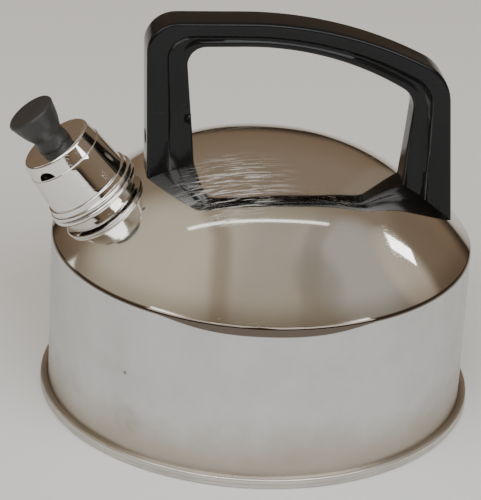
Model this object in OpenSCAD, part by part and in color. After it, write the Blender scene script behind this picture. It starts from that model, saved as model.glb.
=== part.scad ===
// Stovetop whistling kettle, filled through its spout.
// Origin: centre of the underside. +Z up, spout towards -X, handle in the XZ plane.

/* [Body] */
// Outside radius of the straight wall
wall_r = 105; // [85:0.5:128]
// Height of the edge where the wall turns into the deck
edge_h = 83.3; // [66:0.1:105]
// Thickness of the drawn steel shell
shell_t = 0.8; // [0.6:0.1:1.2]
// Outside radius of the bend at the edge
edge_bend_r = 2.5; // [1.5:0.1:4]
// Slope of the deck's skirt at the edge, degrees from level
skirt_angle = 45.5; // [37:0.1:55]
// Slope of the skirt at its top, where the shoulder begins
skirt_top_angle = 34; // [28:0.1:36]
// Level distance from the wall in to the skirt's top
skirt_in = 33; // [28:0.5:38]
// Level distance from the wall in to the crown's edge
crown_in = 60; // [54:0.5:68]
// Slope of the crown where it meets the shoulder, degrees
crown_angle = 14; // [8:0.5:18]

/* [Base] */
// How far the rolled seam stands out from the wall
seam_out = 4; // [3:0.1:6]
// Thickness of the seam's roll above the shell's flange
seam_roll = 0.8; // [0.6:0.1:3]
// Thickness of the base pan's sheet
pan_t = 0.8; // [0.6:0.1:1.2]
// Width of the foot ring under the seam
foot_w = 10; // [8:0.5:14]
// Thickness of the aluminium heat disc
disc_t = 2.4; // [1.6:0.1:3]
// Thickness of the steel cap under the heat disc
cap_sheet_t = 0.6; // [0.4:0.1:0.8]

/* [Spout] */
// Level distance from the wall in to the point where the spout's axis leaves the deck
spout_in = 22.6; // [22:0.05:27]
// Tilt of the spout's axis above level
spout_tilt = 53; // [44:0.1:64]
// Outside radius of the cap's foot, where the lip's bead begins
neck_r = 21.5; // [17.5:0.1:26]
// How far the neck's tube stands in from there
neck_in = 1.5; // [0.5:0.1:2.5]
// Thickness of the neck's sheet
neck_t = 0.9; // [0.6:0.1:1.2]
// Depth of the neck below the deck
neck_down = 7; // [6:0.5:10]
// Height of the lip's top above the deck, along the spout's axis
lip_h = 5; // [4.5:0.1:10]
// Radius of the rolled bead of the lip
lip_bead_r = 1.25; // [1:0.05:1.6]

/* [Whistle] */
// Height of the cap's shell above its skirt
cap_h = 26.3; // [21:0.1:34]
// Height of the upper band of the cap
cap_band_h = 8.1; // [6.5:0.1:10]
// Draw-in of the cap's side from its foot to the step
cap_taper = 1.5; // [0.5:0.1:2.5]
// Depth of the step under the upper band
cap_step = 0.55; // [0.3:0.05:1]
// Draw-in of the upper band up to its rounded edge
band_taper = 0.8; // [0:0.1:1.4]
// Radius of the cap's top edge
cap_edge_r = 1.6; // [0.8:0.1:2.5]
// Thickness of the cap's sheet
cap_t = 0.7; // [0.5:0.1:0.9]
// Height of the straight band of the collar above its bead
collar_h = 2.9; // [2:0.1:5]
// Thickness of the collar's band
collar_t = 1.1; // [0.8:0.1:1.4]
// Radius of the collar's bead
collar_bead_r = 1.25; // [1:0.05:1.4]
// Length of the plug below the lip
plug_h = 8.5; // [7:0.5:12]
// Thickness of the plug's sheet
plug_t = 0.6; // [0.4:0.1:0.8]
// Radial gap between plug and neck, bridged by the grip springs
plug_gap = 1; // [0.8:0.1:1.4]
// Number of grip springs round the plug
grip_count = 3; // [2:1:6]
// Width of one grip spring
grip_w = 7; // [5:0.5:9]
// Radius of the blowing holes in the whistle discs
blow_r = 1.6; // [1:0.1:2.4]
// Gap between the whistle discs
disc_gap = 2.6; // [2:0.1:4]
// Thickness of the whistle discs
whistle_disc_t = 0.6; // [0.4:0.1:0.8]
// Width of a steam hole's round, of which the part above the step is open
steam_w = 9.6; // [8:0.1:11.5]
// Turn of the steam holes from the side towards the front, degrees
steam_turn = 33; // [10:1:60]

/* [Knob] */
// Height of the knob
knob_h = 21.4; // [17:0.1:26]
// Radius of the knob's widest rim
knob_r = 12.4; // [10:0.1:15]
// Radius of the knob's waist
knob_waist_r = 7.9; // [6.5:0.1:8.5]
// Radius of the knob's foot
knob_foot_r = 8.4; // [7:0.1:10]
// Radius of the knob's screw
knob_screw_r = 2; // [1.5:0.1:2.5]

/* [Handle] */
// Half width of the handle
handle_w = 9; // [8:0.5:12]
// Half width of the handle inside its cove
web_w = 6.2; // [5.5:0.1:7]
// Room for the hand between the crown's top and the grip
hand_room = 57; // [45:0.1:75]
// Level distance from the wall in to the front leg's outer face
leg_front_in = 43; // [42:0.5:50]
// Level distance from the wall in to the rear leg's outer face
leg_rear_in = 11; // [9:0.5:18]
// Lean of the rear leg from its foot to the rear corner
rear_lean = 6; // [2:0.5:12]
// Thickness of the grip
grip_t = 13.5; // [11:0.5:18]
// Width of the front leg
front_leg_w = 20.5; // [17:0.5:24.5]
// Width of the rear leg
rear_leg_w = 21; // [18:0.5:26]
// Drop of the grip from its front end to its rear corner
grip_drop = 28; // [10:1:40]
// Depth of the step between rim and web, measured from the opening
web_band = 6.5; // [5:0.5:8]
// Gap between the handle's feet and the deck
foot_gap = 0.1; // [0.05:0.05:0.3]

/* [Tangs] */
// Thickness of the tangs that hold the handle
tang_t = 3; // [2:0.5:4]
// Width of the tangs
tang_w = 9; // [7:0.5:10]
// Height of a tang above its screw
tang_over = 7; // [5:0.5:9]
// Radius of the handle screws
screw_r = 2; // [1.5:0.1:2.5]
// Radius of the screw heads
head_r = 3.6; // [3:0.1:4.2]
// Height of the front screw above the deck at its tang
front_screw_up = 15.16; // [12:0.01:22]
// Height of the rear screw above the deck at its tang
rear_screw_up = 14.48; // [12:0.01:22]

/* [Hidden] */
$fn = 96;
EPS = 0.01;
STEEL = [0.78, 0.77, 0.75];
SATIN = [0.66, 0.66, 0.65];
ALUMINIUM = [0.72, 0.73, 0.75];
BRASS = [0.78, 0.62, 0.32];
BLACK = [0.07, 0.07, 0.075];

// Clearances and small rounds that stay as they are
room = 0.3;
screw_room = 0.2;
chamfer = 0.4;
past = 1;

// Deck in section: the arcs of skirt, shoulder and crown, tangent to each other
crown_w = wall_r - crown_in;
skirt_end_r = wall_r - skirt_in;
skirt_r = (skirt_in - edge_bend_r * (1 - sin(skirt_angle))) / (sin(skirt_angle) - sin(skirt_top_angle));
skirt_cr = skirt_end_r - skirt_r * sin(skirt_top_angle);
skirt_cz = edge_h + (edge_bend_r - skirt_r) * cos(skirt_angle);
shoulder_r = (skirt_end_r - crown_w) / (sin(skirt_top_angle) - sin(crown_angle));
shoulder_cr = crown_w - shoulder_r * sin(crown_angle);
shoulder_cz = skirt_cz + (skirt_r - shoulder_r) * cos(skirt_top_angle);
crown_r = crown_w / sin(crown_angle);
crown_cz = shoulder_cz + (shoulder_r - crown_r) * cos(crown_angle);
crown_top = crown_cz + crown_r;

// Height of the deck at the distance r from the axis
function deck_z(r) =
    r > skirt_end_r ? skirt_cz + sqrt(skirt_r * skirt_r - pow(r - skirt_cr, 2))
    : r > crown_w ? shoulder_cz + sqrt(shoulder_r * shoulder_r - pow(r - shoulder_cr, 2))
    : crown_cz + sqrt(crown_r * crown_r - r * r);

// Base levels: steel cap, heat disc, pan floor and the shell's turned-out flange
pan_floor_z = cap_sheet_t + disc_t;
flange_z = pan_floor_z + pan_t;
seam_h = flange_z + shell_t + seam_roll;
seam_r = wall_r + seam_out;
foot_r = seam_r - foot_w;
base_cap_gap = 1;
base_cap_r = foot_r - pan_t - base_cap_gap;
foot_round_r = 1.2;
seam_round_r = 1;
seam_lap = 0.6;
pan_lap = 1.5;

// Spout and whistle, measured along the spout's axis from the deck
spout_x = wall_r - spout_in;
spout_z = deck_z(spout_x);
tube_r = neck_r - neck_in;
neck_bore_r = tube_r - neck_t;
lip_bead_s = lip_h - lip_bead_r;
collar_bead_s = lip_h + room + collar_bead_r;
collar_top_s = collar_bead_s + collar_bead_r + collar_h;
skirt_foot_s = lip_h + room + chamfer;
cap_top_s = collar_top_s + cap_h;
band_s = cap_top_s - cap_band_h;
cap_in_r = neck_r - cap_t;
plug_r = neck_bore_r - plug_gap;
plug_low_s = lip_h - plug_h;
plug_flange_s = skirt_foot_s + chamfer;
disc_spacer_t = 0.6;
upper_disc_s = plug_flange_s + plug_t + disc_spacer_t;
lower_disc_s = upper_disc_s - disc_gap - whistle_disc_t;
step_r = neck_r - cap_taper;
band_r = step_r - cap_step;
cap_top_r = band_r - band_taper;
step_rise = 0.5;
steam_sink = 0.8;

// Knob and its fixing, measured from the cap's top
knob_washer_t = 0.4;
knob_washer_r = 5;
knob_head_h = 2.4;
insert_r = knob_screw_r + 1.3;
insert_depth = knob_h / 2;

// Handle outline corners
front_top_r = 15;
grip_bend_r = 200;
rear_top_r = 24;
bend_share = 0.79;
bend_in = 62.8;
handle_top = crown_top + hand_room + grip_t;
leg_front_x = leg_front_in - wall_r;
leg_rear_x = wall_r - leg_rear_in;
rear_top_x = leg_rear_x - rear_lean;
rear_top_z = handle_top - grip_drop;
bend_x = leg_rear_x - bend_in;
leg_low_z = edge_h - 1;
cut_low_z = leg_low_z - 5;

// How far the legs' feet and top corners stand off their places
front_foot_off = 3.5;
front_top_off = 0.5;
rear_foot_off = 1.5;

// Corners of the hand opening: radii, and steps from the grip's and the legs' places
knee_r = 60;
knee_drop = 48.2;
knee_in = 2.5;
foot_in = 9;
opening_r = 9;
rear_opening_r = 12;
opening_top_off = 1;
opening_bend_off = 4;
opening_rear_up = 11;
opening_foot_off = 6;

// Tangs, screws and the seats of their heads
washer_t = 0.6;
head_h = 2.6;
tang_front_off = 2;
tang_front_x = leg_front_x + front_leg_w / 2 + tang_front_off;
tang_rear_x = leg_rear_x - rear_leg_w / 2;
seat_front_in = 6.5;
seat_rear_in = 7.5;
seat_front_x = leg_front_x + seat_front_in;
seat_rear_x = leg_rear_x - seat_rear_in;
front_screw_z = deck_z(-tang_front_x) + front_screw_up;
rear_screw_z = deck_z(tang_rear_x) + rear_screw_up;
seat_depth = 20;
slot_w = 1;

// Points of an arc round c, from angle a to angle b
function arc(c, r, a, b, n = 12) =
    [for (i = [0 : n]) c + r * [cos(a + (b - a) * i / n), sin(a + (b - a) * i / n)]];

// One rounded corner of an outline: p is the corner, a and b its neighbours.
// The rounding takes up no more than the share `most` of either side.
function corner(a, p, b, radius, n = 10, most = 0.45) =
    let (u = (a - p) / norm(a - p), v = (b - p) / norm(b - p))
    let (half = acos(u * v) / 2)
    let (r = min(radius, most * min(norm(a - p), norm(b - p)) * tan(half)))
    let (c = p + (u + v) / norm(u + v) * r / sin(half))
    let (s = p + u * r / tan(half) - c, e = p + v * r / tan(half) - c)
    let (a0 = atan2(s[1], s[0]), turn = atan2(s[0] * e[1] - s[1] * e[0], s * e))
    [for (i = [0 : n]) c + r * [cos(a0 + turn * i / n), sin(a0 + turn * i / n)]];

// Outside of the deck in section, drawn in by t, from the edge to the axis
function deck(t) = concat(
    arc([wall_r - edge_bend_r, edge_h], edge_bend_r - t, 0, 90 - skirt_angle),
    arc([skirt_cr, skirt_cz], skirt_r - t, 90 - skirt_angle, 90 - skirt_top_angle, 16),
    arc([shoulder_cr, shoulder_cz], shoulder_r - t, 90 - skirt_top_angle, 90 - crown_angle, 20),
    [for (i = [1 : 16]) [0, crown_cz] + (crown_r - t) * [sin(crown_angle * (1 - i / 16)),
                                                       cos(crown_angle * (1 - i / 16))]]);

// Reversed list, for closing an inner outline
function back(list) = [for (i = [len(list) - 1 : -1 : 0]) list[i]];

// Filled space under the deck, grown by g
module deck_solid(g = 0) {
    rotate_extrude($fn = 180)
        polygon(concat([[0, 0], [wall_r + g, 0]], deck(-g)));
}

// Places a shape that is drawn up from z = 0 along the spout's axis
module on_spout() {
    translate([-spout_x, 0, spout_z])
        rotate([0, spout_tilt - 90, 0])
            children();
}

// Flat ring or disc
module ring(r_out, r_in, s, t) {
    translate([0, 0, s])
        difference() {
            cylinder(r = r_out, h = t);
            if (r_in > 0)
                translate([0, 0, -past])
                    cylinder(r = r_in, h = t + 2 * past);
        }
}

// Deep-drawn shell: satin wall, polished deck, turned-out flange at the foot
module body_shell() {
    color(STEEL)
        difference() {
            rotate_extrude($fn = 180)
                polygon(concat(
                    [[wall_r - shell_t, flange_z], [seam_r - pan_t, flange_z],
                     [seam_r - pan_t, flange_z + shell_t], [wall_r, flange_z + shell_t]],
                    deck(0), back(deck(shell_t))));
            on_spout()
                translate([0, 0, -2 * neck_down])
                    cylinder(r = tube_r, h = 4 * neck_down);
        }
}

// Base pan whose edge is rolled over the shell's flange
module base_pan() {
    color(SATIN)
        rotate_extrude($fn = 180)
            polygon(concat(
                [[0, pan_floor_z], [foot_r - pan_t, pan_floor_z], [foot_r - pan_t, 0]],
                arc([seam_r - foot_round_r, foot_round_r], foot_round_r, -90, 0, 6),
                arc([seam_r - seam_round_r, seam_h - seam_round_r], seam_round_r, 0, 90, 6),
                [[wall_r + seam_lap, seam_h], [wall_r + seam_lap, flange_z + shell_t],
                 [seam_r - pan_t, flange_z + shell_t], [seam_r - pan_t, flange_z],
                 [wall_r - pan_lap, flange_z], [wall_r - pan_lap, pan_t], [foot_r, pan_t],
                 [foot_r, flange_z], [0, flange_z]]));
}

// Aluminium disc that spreads the heat
module heat_disc() {
    color(ALUMINIUM)
        ring(base_cap_r - cap_sheet_t, 0, cap_sheet_t, disc_t);
}

// Steel cap pressed over the heat disc
module base_cap() {
    color(STEEL)
        rotate_extrude($fn = 180)
            polygon([[0, 0], [base_cap_r, 0], [base_cap_r, pan_floor_z],
                     [base_cap_r - cap_sheet_t, pan_floor_z],
                     [base_cap_r - cap_sheet_t, cap_sheet_t], [0, cap_sheet_t]]);
}

// Neck welded into the deck, with a rolled bead as its lip
module spout_neck() {
    color(STEEL)
        on_spout()
            rotate_extrude()
                polygon(concat(
                    [[neck_bore_r, -neck_down], [tube_r, -neck_down],
                     [tube_r, lip_bead_s - lip_bead_r]],
                    arc([neck_r + lip_bead_r, lip_bead_s], lip_bead_r, -90, 90),
                    [[neck_bore_r + chamfer, lip_h], [neck_bore_r, lip_h - chamfer]]));
}

// Closed outline of the handle before the opening is cut
function handle_outline() =
    let (a = [leg_front_x + front_foot_off, leg_low_z], b = [leg_front_x - front_top_off, handle_top])
    let (c = [bend_x, handle_top], d = [rear_top_x, rear_top_z])
    let (e = [leg_rear_x + rear_foot_off, leg_low_z])
    concat([a], corner(a, b, c, front_top_r), corner(b, c, d, grip_bend_r, 16, bend_share),
           corner(c, d, e, rear_top_r, 10, 1 - bend_share), [e]);

// Outline of the hand opening, grown by g all round
function hand_outline(g = 0) =
    let (top = handle_top - grip_t + g, left = leg_front_x + front_leg_w - g)
    let (right = leg_rear_x - rear_leg_w - rear_foot_off + g, low = cut_low_z - g)
    let (a = [left + foot_in, low], a2 = [left + knee_in, handle_top - knee_drop])
    let (b = [left - opening_top_off, top], c = [bend_x - opening_bend_off, top])
    let (d = [right, rear_top_z - opening_rear_up + g], e = [right - opening_foot_off, low])
    concat([a], corner(a, a2, b, knee_r, 6), corner(a2, b, c, opening_r + g),
           corner(b, c, d, grip_bend_r, 12, bend_share),
           corner(c, d, e, rear_opening_r + g, 10, 1 - bend_share), [e]);

// Room in a leg for its tang, its screw and the recessed head
module leg_cuts(x, z, seat_x, way) {
    translate([x - tang_t / 2 - room, -tang_w / 2 - room, cut_low_z])
        cube([tang_t + 2 * room, tang_w + 2 * room, z + tang_over + room - cut_low_z]);
    translate([x - way * (tang_t + room), 0, z])
        rotate([0, 90 * way, 0])
            cylinder(r = screw_r + screw_room, h = front_leg_w + rear_leg_w);
    translate([seat_x, 0, z])
        rotate([0, 90 * way, 0])
            cylinder(r = head_r + room, h = seat_depth);
}

// Moulded arch: two legs and a grip, with a cove on both sides of the opening
module handle() {
    color(BLACK)
        difference() {
            rotate([90, 0, 0])
                linear_extrude(2 * handle_w, center = true)
                    polygon(handle_outline());
            rotate([90, 0, 0])
                linear_extrude(2 * (handle_w + past), center = true)
                    polygon(hand_outline());
            for (side = [-1, 1])
                translate([0, side * (web_w + handle_w) / 2 + side * EPS, 0])
                    rotate([90, 0, 0])
                        linear_extrude(handle_w - web_w, center = true)
                            polygon(hand_outline(web_band));
            deck_solid(foot_gap);
            leg_cuts(tang_front_x, front_screw_z, seat_front_x, -1);
            leg_cuts(tang_rear_x, rear_screw_z, seat_rear_x, 1);
        }
}

// Steel tang welded to the deck, tapped for its screw
module tang(x, z) {
    color(STEEL)
        difference() {
            translate([x - tang_t / 2, -tang_w / 2, leg_low_z])
                cube([tang_t, tang_w, z + tang_over - leg_low_z]);
            deck_solid();
            translate([x - tang_t, 0, z])
                rotate([0, 90, 0])
                    cylinder(r = screw_r, h = 2 * tang_t);
        }
}

module front_tang() {
    tang(tang_front_x, front_screw_z);
}

module rear_tang() {
    tang(tang_rear_x, rear_screw_z);
}

// Pan-head screw: from its seat through the leg and into the tang
module handle_screw(x, z, seat_x, way) {
    color(STEEL)
        translate([seat_x, 0, z])
            rotate([0, 90 * way, 0])
                difference() {
                    union() {
                        translate([0, 0, -abs(seat_x - x) - tang_t])
                            cylinder(r = screw_r, h = abs(seat_x - x) + tang_t + washer_t);
                        translate([0, 0, washer_t])
                            cylinder(r = head_r, h = head_h);
                    }
                    translate([-head_r - past, -slot_w / 2, washer_t + head_h - past])
                        cube([2 * (head_r + past), slot_w, 2 * past]);
                }
}

module front_screw() {
    handle_screw(tang_front_x, front_screw_z, seat_front_x, -1);
}

module rear_screw() {
    handle_screw(tang_rear_x, rear_screw_z, seat_rear_x, 1);
}

// Washer between a screw's head and the moulding
module handle_washer(z, seat_x, way) {
    color(STEEL)
        translate([seat_x, 0, z])
            rotate([0, 90 * way, 0])
                ring(head_r, screw_r, 0, washer_t);
}

module front_washer() {
    handle_washer(front_screw_z, seat_front_x, -1);
}

module rear_washer() {
    handle_washer(rear_screw_z, seat_rear_x, 1);
}

// Outside of the cap in section, drawn in by t
function cap_line(t) = concat(
    [[neck_r - t, collar_top_s], [step_r - t, band_s], [band_r - t, band_s + step_rise]],
    arc([cap_top_r - cap_edge_r, cap_top_s - cap_edge_r], cap_edge_r - t / 2, 0, 90, 8));

// Chromed cap with two steam holes in its upper band
module whistle_cap() {
    color(STEEL)
        on_spout()
            difference() {
                rotate_extrude()
                    polygon(concat(
                        [[neck_r, skirt_foot_s]], cap_line(0),
                        [[knob_screw_r, cap_top_s], [knob_screw_r, cap_top_s - cap_t],
                         [cap_top_r - cap_edge_r, cap_top_s - cap_t],
                         [cap_top_r - cap_t, cap_top_s - cap_edge_r],
                         [band_r - cap_t, band_s + step_rise - cap_t], [step_r - cap_t, band_s - cap_t],
                         [cap_in_r, collar_top_s - cap_t], [cap_in_r, skirt_foot_s]]));
                for (side = [-1, 1])
                    translate([0, 0, band_s + step_rise])
                        rotate([0, 0, side * (90 + steam_turn)])
                            intersection() {
                                translate([0, 0, -steam_sink])
                                    rotate([0, 90, 0])
                                        cylinder(r = steam_w / 2, h = neck_r);
                                translate([0, -steam_w, 0])
                                    cube([neck_r, 2 * steam_w, steam_w]);
                            }
            }
}

// Ring round the cap's foot: a plain band above a rolled bead
module cap_collar() {
    color(STEEL)
        on_spout()
            rotate_extrude()
                polygon(concat(
                    [[neck_r, collar_bead_s - collar_bead_r]],
                    arc([neck_r + collar_bead_r, collar_bead_s], collar_bead_r, -90, 90),
                    [[neck_r + collar_t, collar_bead_s + collar_bead_r + room],
                     [neck_r + collar_t, collar_top_s - chamfer],
                     [neck_r + collar_t - chamfer, collar_top_s],
                     [neck_r, collar_top_s]]));
}

// Tube that enters the neck, flanged inside the cap
module whistle_plug() {
    color(STEEL)
        on_spout()
            rotate_extrude()
                polygon([[plug_r - plug_t, plug_low_s], [plug_r, plug_low_s],
                         [plug_r, plug_flange_s], [cap_in_r, plug_flange_s],
                         [cap_in_r, plug_flange_s + plug_t],
                         [plug_r - plug_t, plug_flange_s + plug_t]]);
}

// Bowed leaf springs on the plug that grip the neck
module grip_springs() {
    color(BRASS)
        on_spout()
            for (i = [0 : grip_count - 1])
                rotate([0, 0, 360 * i / grip_count])
                    intersection() {
                        rotate_extrude()
                            polygon([[plug_r, plug_low_s + 0.5],
                                     [neck_bore_r - room, (plug_low_s + lip_h) / 2 - 1],
                                     [neck_bore_r - room, (plug_low_s + lip_h) / 2 + 0.5],
                                     [plug_r, lip_h - 1.5]]);
                        translate([0, -grip_w / 2, plug_low_s])
                            cube([neck_r, grip_w, plug_h]);
                    }
}

// Lower whistle disc, set in the plug
module lower_disc() {
    color(STEEL)
        on_spout()
            ring(plug_r - plug_t, blow_r, lower_disc_s, whistle_disc_t);
}

// Ring between the plug's flange and the upper disc
module disc_spacer() {
    color(STEEL)
        on_spout()
            ring(cap_in_r, plug_r - plug_t, plug_flange_s + plug_t, disc_spacer_t);
}

// Upper whistle disc, held in the cap
module upper_disc() {
    color(STEEL)
        on_spout()
            ring(cap_in_r, blow_r, upper_disc_s, whistle_disc_t);
}

// Moulded knob: foot, waist and a wide crowned head
module knob() {
    rim_r = 1.5;
    rim_h = knob_h - rim_r - 0.4;
    color(BLACK)
        on_spout()
            translate([0, 0, cap_top_s])
                difference() {
                    rotate_extrude()
                        polygon(concat(
                            [[0, 0], [knob_foot_r, 0], [knob_foot_r - 0.2, knob_h * 0.14],
                             [knob_waist_r, knob_h * 0.26], [knob_waist_r + 0.5, knob_h * 0.34],
                             [knob_waist_r + 1.6, knob_h * 0.44], [knob_r - 1.7, knob_h * 0.61],
                             [knob_r - 0.6, knob_h * 0.79]],
                            arc([knob_r - rim_r, rim_h], rim_r, -10, 80, 8),
                            [[knob_r * 0.5, knob_h - 0.15], [0, knob_h]]));
                    translate([0, 0, -past])
                        cylinder(r = insert_r, h = insert_depth + past);
                }
}

// Threaded brass insert moulded into the knob
module knob_insert() {
    color(BRASS)
        on_spout()
            ring(insert_r, knob_screw_r, cap_top_s, insert_depth);
}

// Screw from inside the cap into the knob
module knob_screw() {
    head_s = cap_top_s - cap_t - knob_washer_t - knob_head_h;
    color(STEEL)
        on_spout() {
            ring(knob_screw_r + 1.8, 0, head_s, knob_head_h);
            ring(knob_screw_r, 0, head_s + knob_head_h, cap_t + knob_washer_t + insert_depth - 1);
        }
}

// Washer under the knob screw's head
module knob_washer() {
    color(STEEL)
        on_spout()
            ring(knob_washer_r, knob_screw_r, cap_top_s - cap_t - knob_washer_t, knob_washer_t);
}

body_shell();
base_pan();
heat_disc();
base_cap();
spout_neck();
handle();
front_tang();
rear_tang();
front_screw();
rear_screw();
front_washer();
rear_washer();
whistle_cap();
cap_collar();
whistle_plug();
grip_springs();
lower_disc();
disc_spacer();
upper_disc();
knob();
knob_insert();
knob_screw();
knob_washer();
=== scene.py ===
import math

import bpy
from mathutils import Matrix, Vector


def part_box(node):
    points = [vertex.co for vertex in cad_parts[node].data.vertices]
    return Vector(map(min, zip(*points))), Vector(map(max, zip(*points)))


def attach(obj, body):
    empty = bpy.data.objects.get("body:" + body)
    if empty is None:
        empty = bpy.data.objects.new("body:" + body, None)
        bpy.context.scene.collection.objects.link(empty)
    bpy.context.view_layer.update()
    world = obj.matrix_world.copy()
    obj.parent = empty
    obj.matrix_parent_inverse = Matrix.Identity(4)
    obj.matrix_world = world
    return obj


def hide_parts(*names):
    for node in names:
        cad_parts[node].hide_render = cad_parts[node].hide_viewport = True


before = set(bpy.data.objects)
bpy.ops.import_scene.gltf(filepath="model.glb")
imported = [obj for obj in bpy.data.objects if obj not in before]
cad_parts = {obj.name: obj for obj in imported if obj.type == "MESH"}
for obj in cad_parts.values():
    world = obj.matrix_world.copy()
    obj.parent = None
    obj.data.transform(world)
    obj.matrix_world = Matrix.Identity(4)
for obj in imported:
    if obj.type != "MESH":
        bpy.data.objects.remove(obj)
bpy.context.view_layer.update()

bpy.ops.object.select_all(action="DESELECT")


# Table top: a wide pale sheet that the kettle stands on.
def simple_material(name, colour, roughness):
    material = bpy.data.materials.new(name)
    material.use_nodes = True
    shader = material.node_tree.nodes["Principled BSDF"]
    shader.inputs["Base Color"].default_value = (*colour, 1)
    shader.inputs["Roughness"].default_value = roughness
    return material


bpy.ops.mesh.primitive_circle_add(vertices=96, radius=4.0, fill_type="NGON", location=(0, 0, 0))
table_top = bpy.context.object
table_top.name = "table_top"
table_top.data.materials.append(simple_material("table_paper", (0.90, 0.90, 0.895), 0.65))

# Camera: a long lens on a stand before the kettle, a little to the spout's side, leaning by a
# few degrees as a camera in the hand does.
view_azimuth = math.radians(-8.5)
view_down = math.radians(25.63)
view_lean = math.radians(3.14)
bpy.ops.object.camera_add(location=(-0.1944, -1.2330, 0.6731))
camera = bpy.context.object
turn = (Matrix.Rotation(view_azimuth, 4, "Z") @ Matrix.Rotation(math.pi / 2 - view_down, 4, "X")
        @ Matrix.Rotation(view_lean, 4, "Z"))
camera.rotation_euler = turn.to_euler()
camera.data.sensor_width = 36
camera.data.lens = 198.4
camera.data.clip_end = 20
bpy.context.scene.camera = camera

# Room: a brown room with a pale wall on the left, a paler ceiling with a soft joint, and a
# lighter corner on the right, so that the polished deck has something quiet to mirror.
world = bpy.data.worlds.new("room")
bpy.context.scene.world = world
world.use_nodes = True
room = world.node_tree
where = room.nodes.new("ShaderNodeTexCoord").outputs["Generated"]


def toward(azimuth, elevation):
    """Direction seen from the kettle: azimuth from straight behind it, to the right."""
    flat = math.cos(math.radians(elevation))
    ahead = Vector((math.sin(math.radians(azimuth)) * flat, math.cos(math.radians(azimuth)) * flat,
                    math.sin(math.radians(elevation))))
    return Matrix.Rotation(view_azimuth, 3, "Z") @ ahead


def along(direction):
    """How far the world's direction goes along another one, from -1 to 1."""
    dot = room.nodes.new("ShaderNodeVectorMath")
    dot.operation = "DOT_PRODUCT"
    room.links.new(where, dot.inputs[0])
    dot.inputs[1].default_value = direction
    return dot.outputs["Value"]


def tinted(under, colour, value, start, end, most):
    """Lays a colour over the room where a value runs from start to end."""
    share = room.nodes.new("ShaderNodeMapRange")
    share.interpolation_type = "SMOOTHSTEP"
    room.links.new(value, share.inputs["Value"])
    share.inputs["From Min"].default_value = start
    share.inputs["From Max"].default_value = end
    share.inputs["To Max"].default_value = most
    blend = room.nodes.new("ShaderNodeMix")
    blend.data_type = "RGBA"
    room.links.new(share.outputs["Result"], blend.inputs[0])
    room.links.new(under, blend.inputs[6])
    blend.inputs[7].default_value = (*colour, 1)
    return blend.outputs[2]


def lobe(under, colour, azimuth, elevation, inner, outer, most=1.0):
    """A soft round patch of the room in one direction; inner and outer are angles."""
    return tinted(under, colour, along(toward(azimuth, elevation)), math.cos(math.radians(outer)),
                  math.cos(math.radians(inner)), most)


height = room.nodes.new("ShaderNodeValToRGB")
room.links.new(along((0, 0, 1)), height.inputs[0])
steps = height.color_ramp.elements
steps[0].color = (0.045, 0.032, 0.024, 1)
steps[1].color = (0.47, 0.42, 0.35, 1)
for place, colour in ((0.02, (0.05, 0.036, 0.026)), (0.12, (0.20, 0.14, 0.09)),
                      (0.45, (0.26, 0.20, 0.145)), (0.80, (0.28, 0.22, 0.16)), (0.93, (0.43, 0.38, 0.30))):
    step = steps.new(place)
    step.color = (*colour, 1)
seen = lobe(height.outputs[0], (0.62, 0.56, 0.45), -82, 52, 12, 40)
seen = lobe(seen, (0.48, 0.46, 0.41), 80, 57, 8, 26)
seen = lobe(seen, (0.14, 0.105, 0.075), 112, 66, 2, 12, 0.35)
seen = lobe(seen, (0.62, 0.55, 0.45), 66, 36, 6, 13, 0.8)
seen = lobe(seen, (0.17, 0.12, 0.08), 48, 20, 6, 18, 0.6)
across = along(toward(90, 0))


def strip(under, colour, place, outer, inner, most):
    """A soft strip of the room that runs away from the camera at one place across it."""
    apart = room.nodes.new("ShaderNodeMath")
    apart.operation = "SUBTRACT"
    apart.inputs[1].default_value = place
    room.links.new(across, apart.inputs[0])
    near = room.nodes.new("ShaderNodeMath")
    near.operation = "ABSOLUTE"
    room.links.new(apart.outputs[0], near.inputs[0])
    return tinted(under, colour, near.outputs[0], outer, inner, most)


seen = strip(seen, (0.27, 0.205, 0.135), -0.25, 0.105, 0.015, 0.62)
seen = strip(seen, (0.30, 0.25, 0.20), 0.335, 0.09, 0.03, 0.5)
room.links.new(seen, room.nodes["Background"].inputs["Color"])
room.nodes["Background"].inputs["Strength"].default_value = 1.0


# Lamps: two large soft panels and a narrow one behind the camera light the table and the wall.
# A strip on the ceiling and two windows are seen as highlights in the polished pieces.
def soft_panel(name, azimuth, elevation, distance, size, power, colour):
    place = toward(azimuth, elevation) * distance + Vector((0, 0, 0.08))
    bpy.ops.object.light_add(type="AREA", location=place)
    panel = bpy.context.object
    panel.name = name
    panel.data.shape = "RECTANGLE"
    panel.data.size, panel.data.size_y = size
    panel.data.energy = power
    panel.data.color = colour
    panel.rotation_euler = (-toward(azimuth, elevation)).to_track_quat("-Z", "Y").to_euler()
    return panel


soft_panel("panel_left", -146, 40, 2.6, (2.4, 1.3), 29, (0.93, 0.96, 1.0))
soft_panel("panel_right", 142, 38, 2.6, (2.4, 1.3), 39, (0.94, 0.97, 1.0))
soft_panel("panel_strip", 180, 53, 2.5, (1.7, 0.16), 7, (0.92, 0.96, 1.0))
soft_panel("ceiling_strip", -10, 75.5, 2.4, (2.2, 0.09), 1.0, (0.97, 0.98, 1.0))
soft_panel("window_right", 60, 35.5, 2.4, (0.20, 0.34), 0.9, (0.97, 0.99, 1.0))
soft_panel("window_left", -62, 16, 2.4, (0.35, 0.5), 0.9, (0.97, 0.99, 1.0))

# Base pan: stainless sheet pressed to a foot ring, its edge rolled over the flange of the
# body. It is turned from its section, and left with the fine rings of polishing.
MM = 0.001


def arc(centre, radius, start, end, count=10):
    cx, cy = centre
    angles = [math.radians(start + (end - start) * i / count) for i in range(count + 1)]
    return [(cx + radius * math.cos(a), cy + radius * math.sin(a)) for a in angles]


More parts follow.
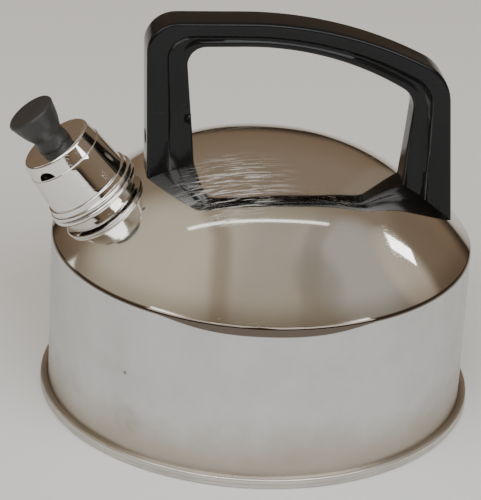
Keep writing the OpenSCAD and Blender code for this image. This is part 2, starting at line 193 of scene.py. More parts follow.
def turned(name, section, rounds=192, sharp=32):
    """Draws a closed section of (radius, height) points in millimetres and spins it round Z."""
    bpy.ops.mesh.primitive_plane_add(size=MM, location=(0, 0, 0))
    piece = bpy.context.object
    piece.name = name
    bpy.ops.object.mode_set(mode="EDIT")
    bpy.ops.mesh.select_all(action="SELECT")
    bpy.ops.mesh.merge(type="CENTER")
    bpy.ops.transform.translate(value=(section[0][0] * MM, 0, section[0][1] * MM))
    for (r0, z0), (r1, z1) in zip(section, section[1:] + section[:1]):
        bpy.ops.mesh.extrude_region_move(
            TRANSFORM_OT_translate={"value": ((r1 - r0) * MM, 0, (z1 - z0) * MM)})
    bpy.ops.mesh.select_all(action="SELECT")
    bpy.ops.mesh.remove_doubles(threshold=1e-6)
    bpy.ops.mesh.spin(steps=rounds, angle=2 * math.pi, center=(0, 0, 0), axis=(0, 0, 1))
    bpy.ops.mesh.select_all(action="SELECT")
    bpy.ops.mesh.remove_doubles(threshold=2e-6)
    bpy.ops.mesh.dissolve_degenerate(threshold=1e-7)
    bpy.ops.mesh.select_all(action="SELECT")
    bpy.ops.mesh.normals_make_consistent(inside=False)
    bpy.ops.object.mode_set(mode="OBJECT")
    bpy.ops.object.shade_smooth_by_angle(angle=math.radians(sharp))
    bpy.ops.object.select_all(action="DESELECT")
    return piece


def node(tree, kind, **values):
    made = tree.nodes.new("ShaderNode" + kind)
    for key, value in values.items():
        setattr(made, key, value)
    return made


def value_of(tree, operation, first, second=0.0, third=None):
    """One Math node; each input is a number or another node's output."""
    made = node(tree, "Math", operation=operation)
    for socket, given in zip(made.inputs, (first, second, third)):
        if given is None:
            continue
        if isinstance(given, (int, float)):
            socket.default_value = given
        else:
            tree.links.new(given, socket)
    return made.outputs[0]


def noise(tree, coords, stretch, scale, detail=3.0, roughness=0.5, turn_by=(0, 0, 0)):
    """Noise on coordinates that are turned and stretched."""
    mapping = node(tree, "Mapping")
    mapping.inputs["Scale"].default_value = stretch
    mapping.inputs["Rotation"].default_value = turn_by
    tree.links.new(coords, mapping.inputs["Vector"])
    made = node(tree, "TexNoise")
    made.inputs["Scale"].default_value = scale
    made.inputs["Detail"].default_value = detail
    made.inputs["Roughness"].default_value = roughness
    tree.links.new(mapping.outputs[0], made.inputs["Vector"])
    return made.outputs["Fac"]


def between(tree, value, low, high, to_low=0.0, to_high=1.0, smooth=False):
    """A value carried from one range to another and held at its ends."""
    made = node(tree, "MapRange")
    made.interpolation_type = "SMOOTHSTEP" if smooth else "LINEAR"
    tree.links.new(value, made.inputs["Value"])
    for key, number in (("From Min", low), ("From Max", high),
                        ("To Min", to_low), ("To Max", to_high)):
        made.inputs[key].default_value = number
    return made.outputs["Result"]


def mixed(tree, share, first, second):
    """Blends two colours or colour outputs by share."""
    made = node(tree, "Mix", data_type="RGBA")
    tree.links.new(share, made.inputs[0])
    for socket, given in ((made.inputs[6], first), (made.inputs[7], second)):
        if isinstance(given, tuple):
            socket.default_value = (*given, 1)
        else:
            tree.links.new(given, socket)
    return made.outputs[2]


def bumped(tree, shader, height_value, distance, strength):
    """Lays a fine relief on the surface without moving it."""
    made = node(tree, "Bump")
    made.inputs["Strength"].default_value = strength
    made.inputs["Distance"].default_value = distance
    tree.links.new(height_value, made.inputs["Height"])
    tree.links.new(made.outputs[0], shader.inputs["Normal"])


def started(name, metallic):
    """A new material: its tree, its shader and its object coordinates."""
    material = bpy.data.materials.new(name)
    material.use_nodes = True
    tree = material.node_tree
    shader = tree.nodes["Principled BSDF"]
    shader.inputs["Metallic"].default_value = metallic
    coords = node(tree, "TexCoord").outputs["Object"]
    return material, tree, shader, coords


def scratches(tree, coords, scale, sparse):
    """Thin straight marks in three directions, gathered in patches."""
    total = None
    for turn_by in (0.35, 1.45, 2.5):
        marks = noise(tree, coords, (1, 38, 14), scale, 2.0, 0.4, (0.2, 0.3, turn_by))
        thin = between(tree, marks, sparse, sparse + 0.035)
        total = thin if total is None else value_of(tree, "MAXIMUM", total, thin)
    patches = between(tree, noise(tree, coords, (1, 1, 1), scale * 0.9, 2.0), 0.50, 0.66)
    return value_of(tree, "MULTIPLY", total, patches)


def turned_steel(name, colour, rough_low, rough_high, line_scale):
    """Stainless sheet with fine rings from the polishing wheel, and dull marks of use."""
    material, tree, shader, coords = started(name, 1.0)
    rings = noise(tree, coords, (0.02, 0.02, 1), line_scale, 2.0)
    cloud = noise(tree, coords, (1, 1, 1), 22, 4.0)
    half_cloud = value_of(tree, "MULTIPLY", cloud, 0.5)
    worn = value_of(tree, "MULTIPLY_ADD", rings, 0.5, half_cloud)
    tree.links.new(between(tree, worn, 0.35, 0.65, rough_low, rough_high), shader.inputs["Roughness"])
    darker = tuple(c * 0.72 for c in colour)
    stained = between(tree, cloud, 0.45, 0.75)
    tree.links.new(mixed(tree, stained, colour, darker), shader.inputs["Base Color"])
    bumped(tree, shader, rings, 0.00003, 0.35)
    return material


pan_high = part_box("base_pan")[1]
seam_r = pan_high.x / MM
seam_h = pan_high.z / MM
sheet = 0.8
seam_out = 4
foot_w = 10
wall_r = seam_r - seam_out
foot_r = seam_r - foot_w
pan_floor = 3.0
flange_z = pan_floor + sheet
flange_top = flange_z + sheet
pan_section = (
    [(0, pan_floor), (foot_r - sheet - 1, pan_floor), (foot_r - sheet, pan_floor - 1)]
    + arc((foot_r + 0.4, 1.2), 1.2, 180, 270, 6) + arc((seam_r - 1.5, 1.5), 1.5, -90, 0, 8)
    + [(seam_r - 0.45, 2.6), (seam_r - 0.5, 3.0)] + arc((seam_r - 1.1, seam_h - 1.1), 1.1, 0, 100, 10)
    + [(wall_r + 1.2, seam_h - 0.15), (wall_r + 0.6, seam_h - 0.5), (wall_r + 0.6, flange_z + 0.1),
       (wall_r - 1.5, flange_z), (wall_r - 1.5, sheet), (foot_r + 0.3, sheet), (foot_r, flange_z),
       (0, flange_z)])
pan = turned("base_pan_rolled", pan_section)
pan.data.materials.append(turned_steel("pan_steel", (0.60, 0.57, 0.52), 0.24, 0.44, 900))
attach(pan, "kettle")
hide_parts("base_pan")

# Heat disc and its steel cap: a thick aluminium disc under a pressed cap, both flat, with the
# rings of the lathe and stains of heat on the cap.
base_cap_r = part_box("base_cap")[1].x / MM
cap_round = 1.2
cap_skin = 0.6
cap_inner_r = base_cap_r - cap_skin
cap_section = (
    [(0, 0), (base_cap_r - cap_round, 0)]
    + arc((base_cap_r - cap_round, cap_round), cap_round, -90, 0, 8)
    + [(base_cap_r, pan_floor), (cap_inner_r, pan_floor), (cap_inner_r, cap_skin), (0, cap_skin)])
base_cap = turned("base_cap_pressed", cap_section)
base_cap.data.materials.append(turned_steel("cap_steel", (0.42, 0.38, 0.33), 0.28, 0.5, 60))
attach(base_cap, "kettle")
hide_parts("base_cap")
heat_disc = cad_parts["heat_disc"]
heat_disc.data.materials.clear()
heat_disc.data.materials.append(turned_steel("disc_aluminium", (0.62, 0.63, 0.65), 0.3, 0.5, 120))

# Body shell: one deep drawing of stainless sheet. The deck is polished to a mirror down to the
# bend of the edge, and the straight wall is brushed. A hole in the deck takes the spout.
shell_sheet = 0.8
edge_z = 83.3
bend_r = 2.5
skirt_foot = 45.5
skirt_top = 34
crown_slope = 14
skirt_in = 33
crown_in = 60
skirt_end_r = wall_r - skirt_in
crown_w = wall_r - crown_in


def sin_d(degrees):
    return math.sin(math.radians(degrees))


def cos_d(degrees):
    return math.cos(math.radians(degrees))


skirt_r = (skirt_in - bend_r * (1 - sin_d(skirt_foot))) / (sin_d(skirt_foot) - sin_d(skirt_top))
skirt_at = (skirt_end_r - skirt_r * sin_d(skirt_top), edge_z + (bend_r - skirt_r) * cos_d(skirt_foot))
shoulder_r = (skirt_end_r - crown_w) / (sin_d(skirt_top) - sin_d(crown_slope))
shoulder_at = (crown_w - shoulder_r * sin_d(crown_slope),
               skirt_at[1] + (skirt_r - shoulder_r) * cos_d(skirt_top))
crown_r = crown_w / sin_d(crown_slope)
crown_at = (0, shoulder_at[1] + (shoulder_r - crown_r) * cos_d(crown_slope))


def deck_line(inset):
    """The deck in section from the edge to the axis, set in by a sheet's thickness."""
    bend = arc((wall_r - bend_r, edge_z), bend_r - inset, 0, 90 - skirt_foot, 12)
    skirt = arc(skirt_at, skirt_r - inset, 90 - skirt_foot, 90 - skirt_top, 20)[1:]
    knee = arc(shoulder_at, shoulder_r - inset, 90 - skirt_top, 90 - crown_slope, 26)[1:]
    crown = arc(crown_at, crown_r - inset, 90 - crown_slope, 90, 22)[1:]
    return bend + skirt + knee + crown


wall_foot = seam_h + 0.1
wall_run = [(wall_r, wall_foot + (edge_z - wall_foot) * i / 14) for i in range(14)]
inner_run = [(wall_r - shell_sheet, edge_z - (edge_z - flange_top) * i / 10) for i in range(1, 10)]
shell_section = (
    [(wall_r - shell_sheet, flange_z), (seam_r - sheet, flange_z), (seam_r - sheet, flange_top),
     (wall_r + 0.5, flange_top)]
    + wall_run + deck_line(0) + deck_line(shell_sheet)[::-1] + inner_run)
shell = turned("body_shell_drawn", shell_section, 256)

spout_tilt = 53
disc_low, disc_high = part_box("upper_disc")
disc_up = 7.6
spout_axis = Vector((-cos_d(spout_tilt), 0, sin_d(spout_tilt)))
spout_place = (Matrix.Translation((disc_low + disc_high) / 2 - spout_axis * disc_up * MM)
               @ Matrix.Rotation(math.radians(spout_tilt - 90), 4, "Y"))


def onto_spout(piece):
    """Moves a piece that was turned round Z onto the spout's axis, its place kept in its mesh."""
    piece.matrix_world = spout_place
    piece.select_set(True)
    bpy.context.view_layer.objects.active = piece
    bpy.ops.object.transform_apply(location=True, rotation=True, scale=True)
    bpy.ops.object.select_all(action="DESELECT")


def cut_by(piece, cutter):
    """Cuts one piece out of another and throws the cutter away."""
    bpy.ops.object.select_all(action="DESELECT")
    piece.select_set(True)
    bpy.context.view_layer.objects.active = piece
    cut = piece.modifiers.new("cut", "BOOLEAN")
    cut.operation = "DIFFERENCE"
    cut.solver = "EXACT"
    cut.object = cutter
    bpy.ops.object.modifier_apply(modifier="cut")
    bpy.data.objects.remove(cutter)
    bpy.ops.object.shade_smooth_by_angle(angle=math.radians(32))
    bpy.ops.object.select_all(action="DESELECT")


foot_r_of_cap = 21.5
tube_r = 20.0
bpy.ops.mesh.primitive_cylinder_add(vertices=128, radius=tube_r * MM, depth=0.04, location=(0, 0, 0))
hole = bpy.context.object
onto_spout(hole)
cut_by(shell, hole)


def near_spot(tree, coords, spot, inner, outer):
    """One near a place given in metres, running out to nothing between two distances."""
    off = node(tree, "VectorMath", operation="DISTANCE")
    tree.links.new(coords, off.inputs[0])
    off.inputs[1].default_value = spot
    return between(tree, off.outputs["Value"], inner, outer, 1.0, 0.0, smooth=True)


def shell_material():
    """Mirror polish above the bend and brushing below it, parted by a hand-polished line that
    dips onto the wall at the front. Both carry smears, scratches and small knocks, and the
    crown is scoured before the front leg. Dark reflections are painted on the deck near its
    edge and on the bend, and a painted reflection of the table makes the wall darker and
    browner towards its foot, with a brown blob."""
    material, tree, shader, coords = started("drawn_steel", 1.0)
    split = node(tree, "SeparateXYZ")
    tree.links.new(coords, split.inputs[0])
    up = split.outputs["Z"]
    flat = node(tree, "VectorMath", operation="MULTIPLY")
    tree.links.new(coords, flat.inputs[0])
    flat.inputs[1].default_value = (1, 1, 0)
    ahead = node(tree, "VectorMath", operation="NORMALIZE")
    tree.links.new(flat.outputs[0], ahead.inputs[0])
    front = node(tree, "VectorMath", operation="DOT_PRODUCT")
    tree.links.new(ahead.outputs[0], front.inputs[0])
    front.inputs[1].default_value = (-0.10, -0.995, 0)
    dip = between(tree, front.outputs["Value"], 0.86, 1.0, 0.0, 0.0032, smooth=True)
    level = value_of(tree, "ADD", up, dip)
    polish = between(tree, level, (edge_z - 0.25) * MM, (edge_z + 0.15) * MM)
    smear = noise(tree, coords, (1, 1, 1.6), 9, 5.0, 0.6)
    fine = noise(tree, coords, (1, 1, 1), 160, 3.0, 0.6)
    up_there = between(tree, up, (edge_z + 24) * MM, (edge_z + 32) * MM, 0.25, 1.0)
    mark = value_of(tree, "MULTIPLY", scratches(tree, coords, 46, 0.66), up_there)
    mirror_rough = value_of(tree, "MULTIPLY_ADD", mark, 0.3, between(tree, smear, 0.35, 0.75, 0.035, 0.11))
    scour = between(tree, noise(tree, coords, (1, 11, 4), 62, 4.0, 0.65, (0.1, 0.2, 0.75)), 0.50, 0.60)
    before_leg = near_spot(tree, coords, (-0.019, -0.030, 0.128), 0.010, 0.036)
    rubbed = value_of(tree, "MULTIPLY", scour, before_leg)
    mirror_rough = value_of(tree, "MULTIPLY_ADD", rubbed, 0.34, mirror_rough)
    brush = noise(tree, coords, (0.012, 0.012, 1), 1900, 2.0, 0.7)
    wall_cloud = noise(tree, coords, (1, 1, 1), 30, 4.0, 0.65)
    wall_rough = between(tree, wall_cloud, 0.3, 0.7, 0.27, 0.35)
    brushed_rough = value_of(tree, "MULTIPLY_ADD", brush, 0.10, wall_rough)
    rough = node(tree, "Mix", data_type="FLOAT")
    tree.links.new(polish, rough.inputs[0])
    tree.links.new(brushed_rough, rough.inputs[2])
    tree.links.new(mirror_rough, rough.inputs[3])
    tree.links.new(rough.outputs[0], shader.inputs["Roughness"])
    tree.links.new(value_of(tree, "MULTIPLY_ADD", rubbed, -0.45, 1.0), shader.inputs["Metallic"])
    deck_plain = mixed(tree, between(tree, smear, 0.4, 0.8), (0.82, 0.80, 0.765), (0.73, 0.705, 0.665))
    # Painted dark reflection: the deck's colour is darkened towards the edge, where the rounding mirrors
    # the dark low room.
    edge_dark_reflection = between(tree, up, (edge_z + 1) * MM, (edge_z + 12) * MM, 0.7, 0.0, smooth=True)
    deck_colour = mixed(tree, edge_dark_reflection, deck_plain, (0.42, 0.375, 0.32))
    whitened = value_of(tree, "MULTIPLY", rubbed, 0.8)
    deck_colour = mixed(tree, whitened, deck_colour, (0.95, 0.95, 0.95))
    # Painted dark reflection: the bend just under the deck's edge is painted nearly black all the way
    # round.
    bend_dark_reflection = between(tree, up, (edge_z + 1.65) * MM, (edge_z + 2.0) * MM, 0.93, 0.0)
    deck_colour = mixed(tree, bend_dark_reflection, deck_colour, (0.115, 0.09, 0.07))
    clouded = between(tree, wall_cloud, 0.35, 0.75)
    wall_plain = mixed(tree, clouded, (0.64, 0.65, 0.65), (0.565, 0.57, 0.565))
    # Painted reflection of the shaded, brownish table just before the kettle: the wall is darker and
    # browner towards its foot, up to a ragged line.
    foot_reflection_height = value_of(tree, "MULTIPLY_ADD", wall_cloud, -0.022, up)
    painted_foot_reflection = between(tree, foot_reflection_height, -0.004, 0.026, 0.9, 0.0, smooth=True)
    wall_colour = mixed(tree, painted_foot_reflection, wall_plain, (0.44, 0.385, 0.315))
    # Painted reflection: a brown blob low on the front of the wall, where a brown patch on the table is
    # mirrored.
    painted_brown_reflection = value_of(tree, "MULTIPLY", near_spot(tree, coords, (-0.0725, -0.0760, 0.0215), 0.001, 0.011),
                    between(tree, wall_cloud, 0.40, 0.60, 0.2, 0.8))
    wall_colour = mixed(tree, painted_brown_reflection, wall_colour, (0.30, 0.24, 0.17))
    spots = node(tree, "TexVoronoi")
    spots.inputs["Scale"].default_value = 95
    tree.links.new(coords, spots.inputs["Vector"])
    chosen = node(tree, "SeparateColor")
    tree.links.new(spots.outputs["Color"], chosen.inputs[0])
    few = value_of(tree, "GREATER_THAN", chosen.outputs[0], 0.965)
    pit = value_of(tree, "MULTIPLY", few, between(tree, spots.outputs["Distance"], 0.06, 0.12, 1.0, 0.0))
    plain = mixed(tree, polish, wall_colour, deck_colour)
    pitted = mixed(tree, value_of(tree, "MULTIPLY", pit, 0.75), plain, (0.16, 0.13, 0.11))
    tree.links.new(pitted, shader.inputs["Base Color"])
    lines = value_of(tree, "MULTIPLY", brush, value_of(tree, "SUBTRACT", 1.0, polish))
    orange_peel = value_of(tree, "MULTIPLY", fine, 0.06)
    relief = value_of(tree, "MULTIPLY_ADD", lines, 0.35, orange_peel)
    relief = value_of(tree, "SUBTRACT", relief, value_of(tree, "MULTIPLY", mark, 0.25))
    relief = value_of(tree, "SUBTRACT", relief, value_of(tree, "MULTIPLY", pit, 1.5))
    bumped(tree, shader, relief, 0.00004, 0.5)
    return material


shell.data.materials.append(shell_material())
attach(shell, "kettle")
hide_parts("body_shell")

# Spout neck: a short drawn tube welded into the deck, flared a little and rolled outwards to a
# bead that is the lip. Polished like the deck.
neck_sheet = 0.9
neck_down = 7
lip_h = 5.0
bead_r = 1.25
bead_foot = lip_h - 2 * bead_r
neck_section = (
    [(tube_r - neck_sheet, -neck_down), (tube_r, -neck_down), (tube_r, bead_foot - 0.6),
     (tube_r + 0.15, bead_foot - 0.2), (tube_r + 0.5, bead_foot)]
    + arc((foot_r_of_cap + bead_r, lip_h - bead_r), bead_r, -90, 90, 18)
    + arc((tube_r - neck_sheet + 0.6, lip_h - 0.6), 0.6, 90, 180, 6))


def chrome(name, colour, rough_low, rough_high):
    """Bright plate with a soft bloom of handling marks and a few hair scratches."""
    material, tree, shader, coords = started(name, 1.0)
    bloom = noise(tree, coords, (1, 1, 1), 45, 5.0, 0.6)
    mark = scratches(tree, coords, 60, 0.64)
    hazy = between(tree, bloom, 0.4, 0.75, rough_low, rough_high)
    tree.links.new(value_of(tree, "MULTIPLY_ADD", mark, 0.25, hazy), shader.inputs["Roughness"])
    darker = tuple(c * 0.82 for c in colour)
    dulled = between(tree, bloom, 0.5, 0.8)
    tree.links.new(mixed(tree, dulled, colour, darker), shader.inputs["Base Color"])
    bumped(tree, shader, value_of(tree, "SUBTRACT", bloom, mark), 0.00002, 0.3)
    return material


bright = chrome("bright_plate", (0.80, 0.785, 0.76), 0.03, 0.11)
neck = turned("spout_neck_rolled", neck_section, 160)
onto_spout(neck)
neck.data.materials.append(bright)
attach(neck, "kettle")
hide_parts("spout_neck")

# Handle: one moulding of black phenolic. A broad rim runs round the outside of the arch, a
# groove follows it on both faces, a rounded bead edges the hand opening, and each leg has a
# round recess in its outer face for the head of its screw.
def rounded_corner(before, at, after, radius, count, most):
    """Points round one corner of an outline; the rounding takes at most a share of each side."""
    at = Vector(at)
    u = (Vector(before) - at)
    v = (Vector(after) - at)
    shortest = min(u.length, v.length)
    u.normalize()
    v.normalize()
    half = u.angle(v) / 2
    radius = min(radius, most * shortest * math.tan(half))
    middle = at + (u + v).normalized() * radius / math.sin(half)
    first = at + u * radius / math.tan(half) - middle
    last = at + v * radius / math.tan(half) - middle
    start = math.atan2(first.y, first.x)
    sweep = math.atan2(first.x * last.y - first.y * last.x, first.dot(last))
    angles = [start + sweep * i / count for i in range(count + 1)]
    return [middle + radius * Vector((math.cos(angle), math.sin(angle))) for angle in angles]


def straight(first, last, count):
    """Points between two others, the ends left out."""
    return [first + (last - first) * i / count for i in range(1, count)]


handle_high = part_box("handle")[1]
top_z = handle_high.z / MM
half_width = handle_high.y / MM
front_x = -62
rear_x = 94
grip = 13.5
front_leg = 20.5
rear_leg = 22.5
rear_lean = 6
grip_drop = 28
knee_drop = 48.2
low_z = edge_z - 1
bend_share = 0.79
bend_x = 31.2
front_r = 15
grip_r = 200
rear_r = 24
knee_r = 60
opening_front_r = 9
opening_rear_r = 12
rear_top = (rear_x - rear_lean, top_z - grip_drop)
outer_corners = [(front_x + 3.5, low_z), (front_x - 0.5, top_z), (bend_x, top_z), rear_top,
                 (rear_x + 1.5, low_z)]
inner_left = front_x + front_leg
inner_right = rear_x - rear_leg
opening_top = top_z - grip
inner_corners = [(inner_left - 1, opening_top), (bend_x - 4, opening_top),
                 (inner_right, rear_top[1] - 11), (inner_right - 6, low_z)]
knee_in = (inner_left + 2.5, top_z - knee_drop)
foot_in = (inner_left + 9, low_z)


def arch_line(corners, radii, counts):
    """One outline of the arch as points in step with the other one's."""
    a, b, c, d, e = [Vector(p) for p in corners]
    first = rounded_corner(a, b, c, radii[0], counts[0], 0.45)
    second = rounded_corner(b, c, d, radii[1], counts[1], bend_share)
    third = rounded_corner(c, d, e, radii[2], counts[2], 1 - bend_share)
    return first, second, third, a, e


counts = (12, 34, 14)
outer_b, outer_c, outer_d, outer_a, outer_e = arch_line(outer_corners, (front_r, grip_r, rear_r), counts)
outer_line = ([outer_a] + straight(outer_a, outer_b[0], 24) + outer_b + straight(outer_b[-1], outer_c[0], 6)
              + outer_c + outer_d + straight(outer_d[-1], outer_e, 24) + [outer_e])
opening_radii = (opening_front_r, grip_r, opening_rear_r)
inner_b, inner_c, inner_d, _, inner_e = arch_line([knee_in] + inner_corners, opening_radii, counts)
knee = rounded_corner(foot_in, knee_in, inner_b[0], knee_r, 8, 0.45)
inner_leg = [Vector(foot_in)] + straight(Vector(foot_in), knee[0], 10) + knee
inner_line = (inner_leg + straight(knee[-1], inner_b[0], 6) + inner_b + straight(inner_b[-1], inner_c[0], 6)
              + inner_c + inner_d + straight(inner_d[-1], inner_e, 24) + [inner_e])


def handle_section(thickness, relief):
    """Half of the moulding's section: depth from the outer face, and half width there. The
    groove is as deep as relief says, from 0 to 1."""
    w = half_width
    rim_end = 0.48 * thickness
    groove = 0.64 * thickness
    bead = 0.84 * thickness
    low = w - 2.9 * relief
    top = w - 2.1 * relief
    points = [(0.0, 0.0), (0.04, 0.45 * w), (0.12, w - 2.4)]
    rim_r = 1.65
    points += [(rim_r + 0.1 - rim_r * cos_d(a), w - rim_r * (1 - sin_d(a))) for a in (12, 30, 50, 70, 90)]
    points += [(rim_end * 0.7, w), (rim_end, w - 0.1 * relief), (rim_end + 0.7, w - 0.7 * relief),
               (rim_end + 1.2, w - 1.7 * relief), (groove, low), (groove + 1.2, low),
               (bead - 0.8, top - 0.2 * relief), (bead - 0.1, top)]
    bead_round = 1.8
    points += [(thickness - bead_round * (1 - sin_d(a)), top - bead_round * (1 - cos_d(a)))
               for a in (20, 40, 60, 80, 90)]
    points += [(thickness, 0.35 * w), (thickness, 0.0)]
    return points


def relief_at(spot):
    """The groove is full along the grip and runs out down the legs."""
    start = top_z - 40 if spot.x < 0 else rear_top[1] - 28
    run_out = 40
    share = min(1.0, max(0.0, 1 - (start - spot.y) / run_out))
    return 0.25 + 0.75 * share * share * (3 - 2 * share)


section_size = 2 * (len(handle_section(grip, 1)) - 1)
bpy.ops.mesh.primitive_grid_add(x_subdivisions=len(outer_line) - 1, y_subdivisions=section_size, size=1)
handle = bpy.context.object
handle.name = "handle_moulded"
grid = handle.data.vertices
for i, (out, inn) in enumerate(zip(outer_line, inner_line)):
    across = inn - out
    half_points = handle_section(across.length, relief_at((out + inn) / 2))
    whole = half_points + [(d, -y) for d, y in half_points[-2:0:-1]] + half_points[:1]
    across.normalize()
    for j, (depth, side) in enumerate(whole):
        spot = out + across * depth
        grid[j * len(outer_line) + i].co = (spot.x * MM, side * MM, spot.y * MM)
bpy.ops.object.mode_set(mode="EDIT")
bpy.ops.mesh.select_all(action="SELECT")
bpy.ops.mesh.remove_doubles(threshold=1e-6)
bpy.ops.mesh.select_all(action="DESELECT")
bpy.ops.mesh.select_non_manifold()
bpy.ops.mesh.edge_face_add()
bpy.ops.mesh.select_all(action="SELECT")
bpy.ops.mesh.normals_make_consistent(inside=False)
bpy.ops.object.mode_set(mode="OBJECT")
bpy.ops.object.select_all(action="DESELECT")
foot_gap = 0.1
block_low = 60
deck_block = turned("deck_block", [(0, block_low), (wall_r + 2, block_low), (wall_r + foot_gap, edge_z)]
                    + deck_line(-foot_gap)[1:])
cut_by(handle, deck_block)
recess_r = 3.9
recess_long = 20
for screw_name, seat_x, way in (("front_screw", front_x + 6.5, -1), ("rear_screw", rear_x - 7.5, 1)):
    screw_low, screw_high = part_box(screw_name)
    screw_z = (screw_low.z + screw_high.z) / 2
    bpy.ops.mesh.primitive_cylinder_add(
        vertices=48, radius=recess_r * MM, depth=recess_long * MM,
        location=((seat_x + way * recess_long / 2) * MM, 0, screw_z), rotation=(0, math.pi / 2, 0))
    recess = bpy.context.object
    bpy.ops.object.transform_apply(location=True, rotation=True, scale=True)
    cut_by(handle, recess)


def phenolic(name, dark, pale, rough_low, rough_high, wear, sheen):
    """Black moulding: soft sheen, fine scuffs, grey dust in patches."""
    material, tree, shader, coords = started(name, 0.0)
    shader.inputs["IOR"].default_value = 1.5
    shader.inputs["Specular IOR Level"].default_value = sheen
    cloud = noise(tree, coords, (1, 1, 1), 16, 5.0, 0.6)
    grain = noise(tree, coords, (1, 1, 1), 420, 2.0, 0.6)
    mark = scratches(tree, coords, 48, 0.68)
    dulled = between(tree, cloud, 0.35, 0.7, rough_low, rough_high)
    tree.links.new(value_of(tree, "MULTIPLY_ADD", mark, wear, dulled), shader.inputs["Roughness"])
    faded = mixed(tree, between(tree, cloud, 0.4, 0.8), dark, pale)
    scuffed = mixed(tree, value_of(tree, "MULTIPLY", mark, wear), faded, (0.11, 0.105, 0.10))
    tree.links.new(scuffed, shader.inputs["Base Color"])
    relief = value_of(tree, "MULTIPLY", value_of(tree, "SUBTRACT", grain, mark), 0.3)
    bumped(tree, shader, relief, 0.00004, 0.3)
    return material


handle.data.materials.append(
    phenolic("handle_phenolic", (0.0035, 0.0036, 0.0040), (0.007, 0.0072, 0.0078), 0.12, 0.22, 0.08, 0.26))
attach(handle, "kettle")
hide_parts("handle")

# Tangs, screws and washers: steel tangs welded to the deck inside the legs, each with a pan
# head screw and a washer in a recess in the leg's outer face.
zinc = turned_steel("zinc_plate", (0.55, 0.55, 0.54), 0.25, 0.45, 500)
for fixing in ("front_tang", "rear_tang", "front_screw", "rear_screw", "front_washer", "rear_washer",
               "knob_screw", "knob_washer"):
    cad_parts[fixing].data.materials.clear()
    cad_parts[fixing].data.materials.append(zinc)

# Whistle inside: a flanged tube that enters the neck, three sprung strips that grip it, and two
# thin discs with a blowing hole through the middle of each, a spacer apart.
inner_steel = turned_steel("inner_steel", (0.60, 0.585, 0.56), 0.2, 0.4, 300)
spring_brass = turned_steel("spring_strip", (0.66, 0.50, 0.27), 0.25, 0.42, 300)
for part in ("whistle_plug", "lower_disc", "disc_spacer", "upper_disc"):
    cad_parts[part].data.materials.clear()
    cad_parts[part].data.materials.append(inner_steel)
for part in ("grip_springs", "knob_insert"):
    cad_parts[part].data.materials.clear()
    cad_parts[part].data.materials.append(spring_brass)

# Whistle cap: a spun cup of plated sheet, drawn in a little towards its top, with a step under
# the upper band, where two steam holes are punched.
collar_rise = 5.7
collar_top = lip_h + collar_rise
cap_h = 26.3
band_h = 8.1
cap_taper = 1.5
cap_step = 0.55
band_taper = 0.8
cap_top = collar_top + cap_h
band_z = cap_top - band_h
cap_sheet = 0.7
neck_r = foot_r_of_cap
step_r = neck_r - cap_taper
band_r = step_r - cap_step
top_r = band_r - band_taper
edge_r = 1.6
step_rise = 0.5
screw_hole_r = 2
skirt_z = lip_h + 0.7
cap_side = [(neck_r, skirt_z), (neck_r, collar_top)] + [
    (neck_r + (step_r - neck_r) * i / 8, collar_top + (band_z - collar_top) * i / 8) for i in range(1, 8)]
cap_section_line = (
    cap_side + arc((step_r - 0.35, band_z - 0.35), 0.35, 5, 90, 5)
    + arc((band_r + 0.15, band_z + 0.2), 0.15, 270, 180, 4)
    + [(band_r - 0.4, band_z + band_h / 2)] + arc((top_r - edge_r, cap_top - edge_r), edge_r, 0, 90, 12)
    + [(top_r * 0.55, cap_top), (screw_hole_r, cap_top), (screw_hole_r, cap_top - cap_sheet),
       (top_r - edge_r, cap_top - cap_sheet), (top_r - cap_sheet, cap_top - edge_r),
       (band_r - cap_sheet, band_z + step_rise - cap_sheet), (step_r - cap_sheet, band_z - cap_sheet),
       (neck_r - cap_sheet, collar_top), (neck_r - cap_sheet, skirt_z)])
cap = turned("whistle_cap_spun", cap_section_line, 160)
steam_turn = 33
steam_r = 4.8
steam_sink = 0.8
punch_long = 20
punch_out = 21
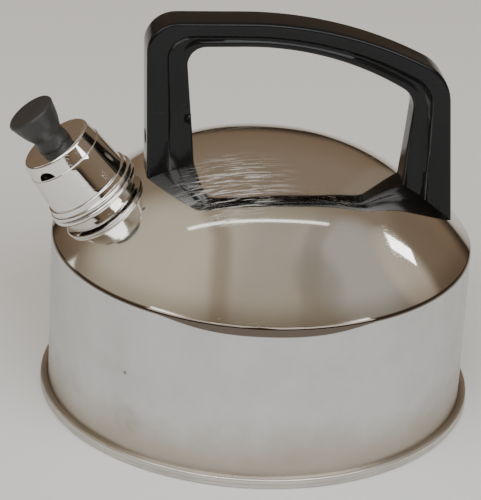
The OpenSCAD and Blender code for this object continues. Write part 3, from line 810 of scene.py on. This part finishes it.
for side in (-1, 1):
    bpy.ops.mesh.primitive_cylinder_add(vertices=64, radius=steam_r * MM, depth=punch_long * MM,
                                        location=(0, 0, 0), rotation=(0, math.pi / 2, 0))
    punch = bpy.context.object
    bpy.ops.object.transform_apply(location=True, rotation=True, scale=True)
    bpy.ops.object.mode_set(mode="EDIT")
    bpy.ops.mesh.select_all(action="SELECT")
    bpy.ops.mesh.bisect(plane_co=(0, 0, steam_sink * MM), plane_no=(0, 0, 1), use_fill=True,
                        clear_inner=True)
    bpy.ops.object.mode_set(mode="OBJECT")
    punch.matrix_world = (Matrix.Translation((0, 0, (band_z + step_rise - steam_sink) * MM))
                          @ Matrix.Rotation(side * math.radians(90 + steam_turn), 4, "Z")
                          @ Matrix.Translation((punch_out * MM, 0, 0)))
    bpy.context.view_layer.update()
    cut_by(cap, punch)
onto_spout(cap)
cap.data.materials.append(bright)
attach(cap, "whistle")
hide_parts("whistle_cap")

# Collar: a plated ring pressed on the cap's foot, plain above and rolled to a bead below, which
# sits on the spout's lip.
bead_z = lip_h + 0.3 + bead_r
collar_section = (
    [(neck_r, bead_z - bead_r)] + arc((neck_r + bead_r, bead_z), bead_r, -90, 70, 16)
    + arc((neck_r + 1.5, bead_z + bead_r + 0.25), 0.35, 240, 180, 4)
    + [(neck_r + 1.1, collar_top - 0.5)] + arc((neck_r + 0.6, collar_top - 0.5), 0.5, 0, 90, 6)
    + [(neck_r, collar_top)])
collar = turned("cap_collar_rolled", collar_section, 160)
onto_spout(collar)
collar.data.materials.append(bright)
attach(collar, "whistle")
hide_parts("cap_collar")

# Knob: black phenolic, moulded with a waist for two fingers and a broad crowned head, dulled
# by heat and handling. A bore in its foot holds the brass insert for the screw from inside.
knob_h = 21.4
knob_r = 12.4
insert_r = 3.3
insert_h = knob_h / 2
rim_r = 1.5
knob_line = ([(insert_r, 0), (8.1, 0), (8.4, 0.4), (8.3, 2.2), (8.0, 4.2), (7.9, 5.5), (8.0, 6.5),
              (8.45, 7.6), (9.1, 8.8), (9.9, 10.6), (10.65, 12.9), (11.25, 15.0), (11.75, 17.0),
              (12.15, 18.8)]
             + arc((knob_r - rim_r, knob_h - 1.9), rim_r, -8, 78, 10)
             + [(9.6, 21.15), (8.2, 21.05), (6.2, 21.1), (3.2, 21.25), (0, 21.35), (0, insert_h),
                (insert_r, insert_h)])
knob_section = [(r, z + cap_top) for r, z in knob_line]
knob = turned("knob_moulded", knob_section, 128, 50)
onto_spout(knob)
knob.data.materials.append(
    phenolic("knob_phenolic", (0.020, 0.020, 0.020), (0.040, 0.039, 0.037), 0.34, 0.52, 0.15, 0.5))
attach(knob, "whistle")
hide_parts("knob")
